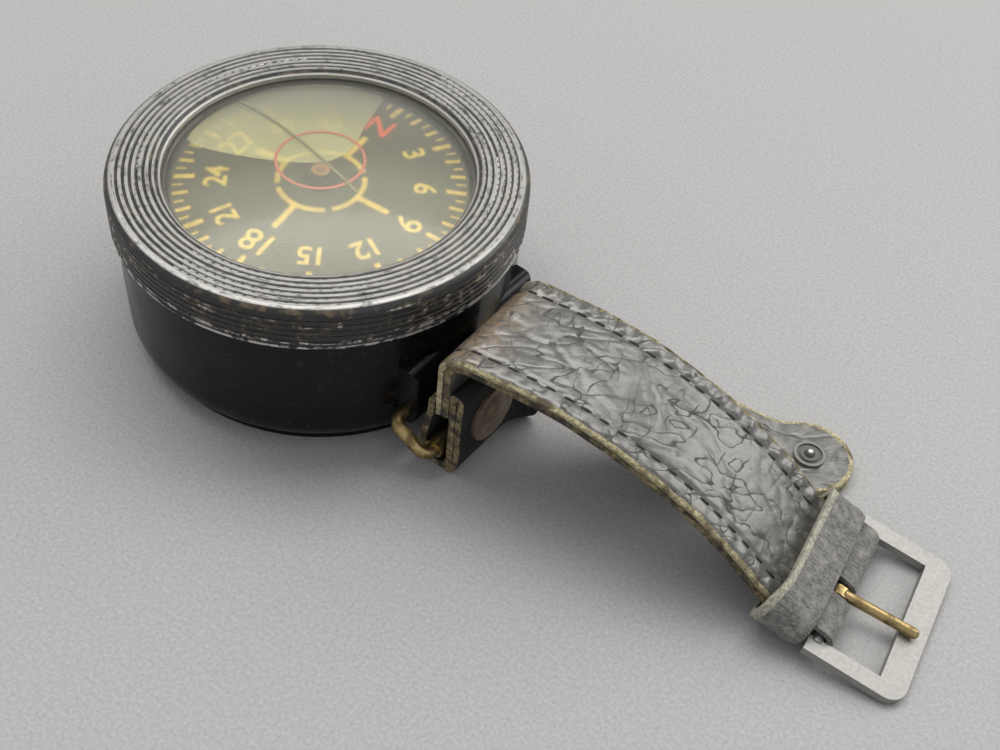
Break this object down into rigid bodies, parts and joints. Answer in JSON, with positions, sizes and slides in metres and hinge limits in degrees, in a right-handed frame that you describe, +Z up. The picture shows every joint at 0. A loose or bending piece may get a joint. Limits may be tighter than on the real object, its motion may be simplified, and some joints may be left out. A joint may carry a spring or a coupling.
{
  "type": "wrist compass",
  "caption": "Liquid-filled aviator's wrist compass: round black case, grooved turning bezel, domed crystal over a floating card, wire bail and the buckle half of a leather strap.",
  "frame": {"origin": "centre of the case's base, on the compass axis", "axes": "+Z up the compass axis, +X along the lugs towards the strap"},
  "size_m": [0.1325, 0.06, 0.0302],
  "materials": {
    "case_black": "glossy black moulding, worn",
    "brass": "dull, tarnished",
    "steel": "plain",
    "card_black": "matt black with raised luminous marks",
    "gasket_rubber": "plain",
    "crystal_glass": "clear, slightly domed",
    "line_olive": "dark luminous paint",
    "ring_red": "red paint",
    "bezel_black": "black paint worn to grey metal on the grooves",
    "leather_black": "wrinkled black grain with pale raw edges",
    "leather_suede": "grey flesh side",
    "cap_brown": "brown lacquer",
    "buckle_alloy": "satin"
  },
  "bodies": {
    "case": {"body_case": "case_black", "filler_plug": "brass", "pivot_post": "brass", "pivot_pin": "steel", "crystal_gasket": "gasket_rubber"},
    "card": {"compass_card": "card_black", "card_hub": "brass", "card_magnet_a": "steel", "card_magnet_b": "steel"},
    "bezel": {"bezel_ring": "bezel_black", "crystal": "crystal_glass", "course_line": "line_olive", "centre_ring": "ring_red"},
    "bail": {"strap_bail": "brass"},
    "roller": {"bail_roller": "brass"},
    "strap": {"strap_loop": "leather_suede", "loop_facing": "leather_suede", "stud_cap": "cap_brown", "stud_post": "brass", "strap_outer": "leather_black", "strap_lining": "leather_black", "snap_tab": "leather_black", "tab_stud": "steel", "end_fold": "leather_suede", "keeper": "leather_suede"},
    "buckle": {"buckle_frame": "buckle_alloy"},
    "prong": {"buckle_prong": "brass"}
  },
  "joints": [
    {"name": "card_spin", "type": "hinge", "parent": "case", "child": "card", "pos_m": [0, 0, 0.0204], "axis": [0, 0, 1], "continuous": true},
    {"name": "bezel_turn", "type": "hinge", "parent": "case", "child": "bezel", "pos_m": [0, 0, 0.025], "axis": [0, 0, 1], "continuous": true},
    {"name": "bail_swing", "type": "hinge", "parent": "case", "child": "bail", "pos_m": [0.0273, 0, 0.007], "axis": [0, 1, 0], "range_deg": [0, 15]},
    {"name": "roller_spin", "type": "hinge", "parent": "bail", "child": "roller", "pos_m": [0.03318, 0, 0.004], "axis": [0, 1, 0], "continuous": true},
    {"name": "strap_swing", "type": "hinge", "parent": "bail", "child": "strap", "pos_m": [0.03318, 0, 0.004], "axis": [0, 1, 0], "range_deg": [0, 35]},
    {"name": "buckle_swing", "type": "hinge", "parent": "strap", "child": "buckle", "pos_m": [0.08863, 0.00379, 0.0028], "axis": [0.1392, -0.9903, 0], "range_deg": [-30, 40]},
    {"name": "prong_swing", "type": "hinge", "parent": "buckle", "child": "prong", "pos_m": [0.08863, 0.00379, 0.0028], "axis": [0.1392, -0.9903, 0], "range_deg": [0, 35]}
  ]
}
